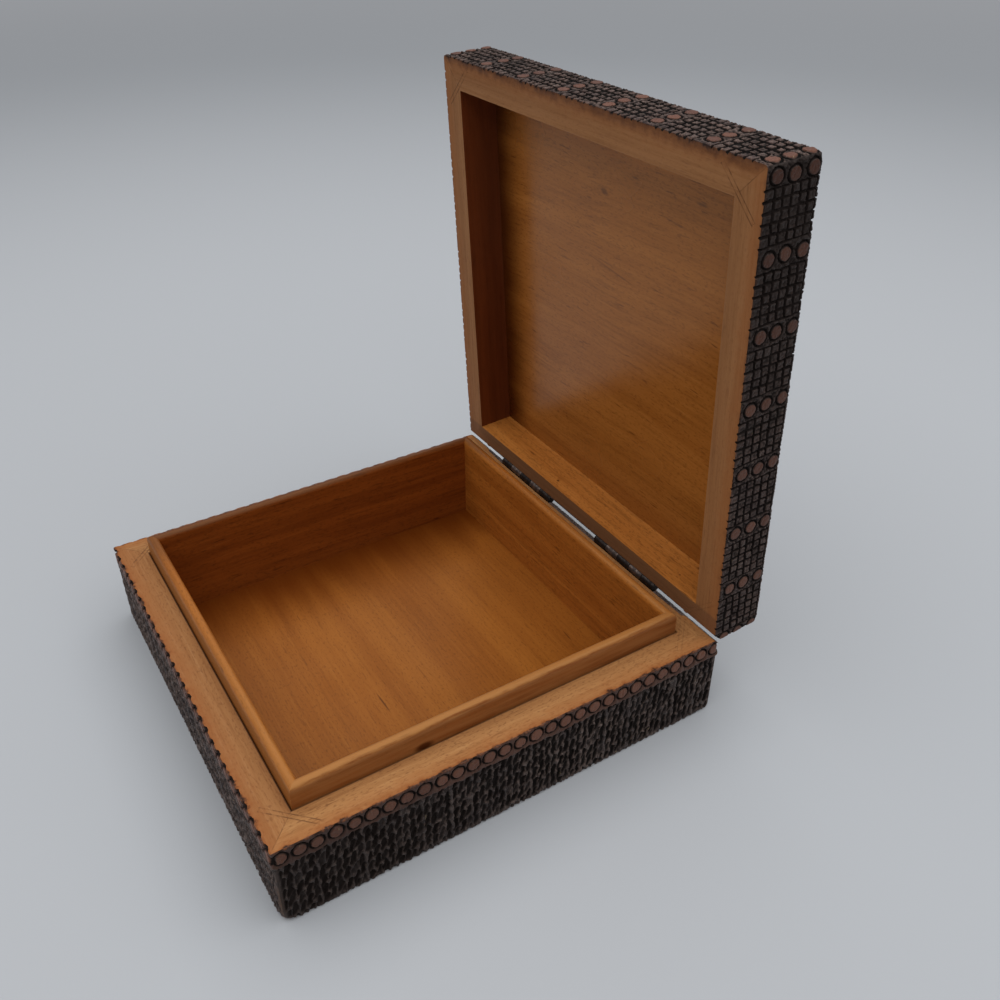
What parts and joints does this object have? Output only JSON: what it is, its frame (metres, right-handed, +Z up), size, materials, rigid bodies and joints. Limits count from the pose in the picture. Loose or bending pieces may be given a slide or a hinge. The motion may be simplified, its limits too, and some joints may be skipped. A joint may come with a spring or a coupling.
{
  "type": "wooden trinket box",
  "caption": "Square wooden trinket box with dark carved walls, pale rims, a raised inner liner and a lid that swings on barrel hinges let into the chamfered back edge.",
  "frame": {"origin": "middle of the underside, on the surface that the box stands on", "axes": "+Z up, +Y towards the hinges at the back, +X to the right seen from the front"},
  "size_m": [0.12, 0.1331, 0.1435],
  "materials": {
    "carved_wall": "carved, dark stained and rubbed, raw honey-coloured wood on rim and inside",
    "corner_spline": "raw sawn wood",
    "liner": "amber varnish, satin",
    "bottom_panel": "amber varnish, satin",
    "lid_panel": "amber varnish, satin",
    "hinge": "tarnished, dull",
    "brad": "dull wire"
  },
  "bodies": {
    "base": {"base_front_wall": "carved_wall", "base_back_wall": "carved_wall", "base_left_wall": "carved_wall", "base_right_wall": "carved_wall", "base_spline_front_left": "corner_spline", "base_spline_front_right": "corner_spline", "base_spline_back_left": "corner_spline", "base_spline_back_right": "corner_spline", "base_bottom": "bottom_panel", "liner_front": "liner", "liner_back": "liner", "liner_left": "liner", "liner_right": "liner", "hinge_left_base_leaf": "hinge", "hinge_right_base_leaf": "hinge", "hinge_left_pin": "hinge", "hinge_right_pin": "hinge", "base_brads": "brad"},
    "lid": {"lid_front_wall": "carved_wall", "lid_back_wall": "carved_wall", "lid_left_wall": "carved_wall", "lid_right_wall": "carved_wall", "lid_spline_front_left": "corner_spline", "lid_spline_front_right": "corner_spline", "lid_spline_back_left": "corner_spline", "lid_spline_back_right": "corner_spline", "lid_panel": "lid_panel", "hinge_left_lid_leaf": "hinge", "hinge_right_lid_leaf": "hinge", "lid_brads": "brad"}
  },
  "joints": [
    {"name": "lid_hinge", "type": "hinge", "parent": "base", "child": "lid", "pos_m": [0, 0.0582, 0.0248], "axis": [1, 0, 0], "range_deg": [0, 87]}
  ]
}
